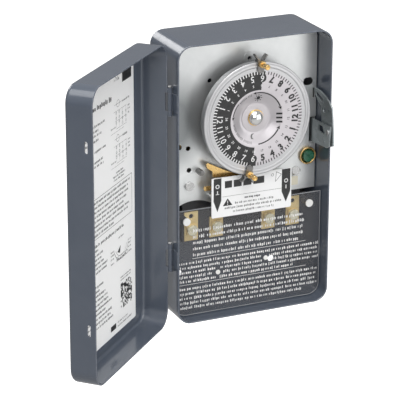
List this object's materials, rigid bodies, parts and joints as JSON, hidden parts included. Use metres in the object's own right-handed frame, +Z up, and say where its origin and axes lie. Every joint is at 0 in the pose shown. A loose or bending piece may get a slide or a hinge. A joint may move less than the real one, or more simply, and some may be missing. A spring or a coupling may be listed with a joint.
{
  "type": "programmable timer",
  "caption": "Wall-mounted mechanical time switch in a steel box with a hinged door, a 24-hour dial with trippers, a trip lever and a screw-terminal switch.",
  "frame": {"origin": "centre of the case's back face, where it meets the wall", "axes": "+X to the right seen from the front, +Y into the wall, +Z up"},
  "size_m": [0.2406, 0.1337, 0.2232],
  "materials": {
    "case_paint": "semi-gloss slate grey-blue baked paint over steel sheet",
    "zinc_plate": "bright zinc-plated steel sheet, satin",
    "steel": "plain turned steel, satin",
    "brass": "plain brass, slightly dulled",
    "copper": "varnished copper wire and copper contact strip",
    "knob_chrome": "polished",
    "dial_aluminium": "bright aluminium with a serrated rim",
    "dial_print": "printed face, black figures on white and silver",
    "clip_steel": "blackened spring steel",
    "green_enamel": "green screw enamel",
    "black_plastic": "black moulded phenolic, satin",
    "ivory_plastic": "ivory moulding, matt",
    "lead_insulation": "red lead insulation",
    "label_print": null,
    "smoked_sheet": "dark smoked clear sheet with rows of plain white dashes",
    "white_plastic": "white push-in pins",
    "paper": "white paper with plain grey dashes"
  },
  "bodies": {
    "case": {"case_shell": "case_paint", "knockout_slugs": "case_paint", "case_hinge_leaves": "case_paint", "hinge_pins": "steel", "hasp_bracket": "zinc_plate", "hasp_rivets": "steel", "latch_rivet": "steel", "mechanism_plate": "zinc_plate", "ground_washer": "brass", "ground_screw": "green_enamel", "block_screws": "steel", "dial_bushing": "brass", "idler_stud": "steel", "gear_plate": "zinc_plate", "gear_plate_posts": "steel", "gear_plate_screws": "steel", "motor_can": "steel", "motor_coil": "copper", "motor_leads": "lead_insulation", "trip_bushing": "brass", "lever_stop": "clip_steel", "fixed_contacts": "copper", "switch_base": "black_plastic", "switch_cover": "black_plastic", "switch_tab": "ivory_plastic", "terminal_plates": "brass", "terminal_clamps": "brass", "terminal_screws": "brass", "label_plate": "label_print", "label_posts": "steel", "insulator_sheet": "smoked_sheet", "insulator_posts": "black_plastic", "insulator_pins": "white_plastic", "insulator_buttons": "white_plastic"},
    "door": {"door_shell": "case_paint", "door_paper": "paper"},
    "latch": {"latch_lever": "zinc_plate"},
    "dial": {"dial_arbor": "steel", "dial_gear": "brass", "dial_tray": "dial_aluminium", "dial_face": "dial_print", "dial_hub_disc": "dial_aluminium", "dial_washer": "brass", "dial_knob": "knob_chrome"},
    "idler": {"idler_gear": "brass"},
    "rotor": {"motor_rotor": "steel", "motor_pinion": "brass"},
    "on_trip": {"on_tripper": "clip_steel"},
    "on_screw": {"on_thumbscrew": "brass"},
    "off_trip": {"off_tripper": "clip_steel"},
    "off_screw": {"off_thumbscrew": "brass"},
    "trip": {"trip_lever": "brass", "trip_shaft": "steel", "switch_crank": "ivory_plastic"},
    "slider": {"switch_slider": "black_plastic", "moving_contacts": "copper"}
  },
  "joints": [
    {"name": "door_hinge", "type": "hinge", "parent": "case", "child": "door", "pos_m": [-0.06565, -0.0442, 0], "axis": [0, 0, 1], "range_deg": [-40, 136.2]},
    {"name": "latch_pivot", "type": "hinge", "parent": "case", "child": "latch", "pos_m": [0.06, -0.0602, 0.0305], "axis": [-1, 0, 0], "range_deg": [-35, 0]},
    {"name": "dial_turn", "type": "hinge", "parent": "case", "child": "dial", "pos_m": [0.004, -0.04, 0.045], "axis": [0, 1, 0], "continuous": true},
    {"name": "idler_turn", "type": "hinge", "parent": "case", "child": "idler", "pos_m": [-0.02595, -0.025, 0.02503], "axis": [0, 1, 0], "continuous": true},
    {"name": "rotor_turn", "type": "hinge", "parent": "case", "child": "rotor", "pos_m": [0.00359, -0.019, 0.03024], "axis": [0, 1, 0], "continuous": true},
    {"name": "on_tripper_set", "type": "hinge", "parent": "dial", "child": "on_trip", "pos_m": [0.004, -0.047, 0.045], "axis": [0, 1, 0], "range_deg": [-150, 150]},
    {"name": "on_screw_turn", "type": "hinge", "parent": "on_trip", "child": "on_screw", "pos_m": [0.00595, -0.051, 0.08796], "axis": [0, 1, 0], "continuous": true},
    {"name": "off_tripper_set", "type": "hinge", "parent": "dial", "child": "off_trip", "pos_m": [0.004, -0.047, 0.045], "axis": [0, 1, 0], "range_deg": [-150, 150]},
    {"name": "off_screw_turn", "type": "hinge", "parent": "off_trip", "child": "off_screw", "pos_m": [-0.00347, -0.051, 0.00265], "axis": [0, 1, 0], "continuous": true},
    {"name": "trip_turn", "type": "hinge", "parent": "case", "child": "trip", "pos_m": [0.004, -0.034, -0.008], "axis": [0, 1, 0], "range_deg": [0, 24]},
    {"name": "switch_slide", "type": "slide", "parent": "case", "child": "slider", "axis": [-1, 0, 0], "range_m": [0, 0.00335]}
  ],
  "couplings": [
    {"joint": "idler_turn", "follows": "dial_turn", "ratio": -5},
    {"joint": "rotor_turn", "follows": "dial_turn", "ratio": 20},
    {"joint": "switch_slide", "follows": "trip_turn", "m_per_rad": 0.0079416}
  ]
}
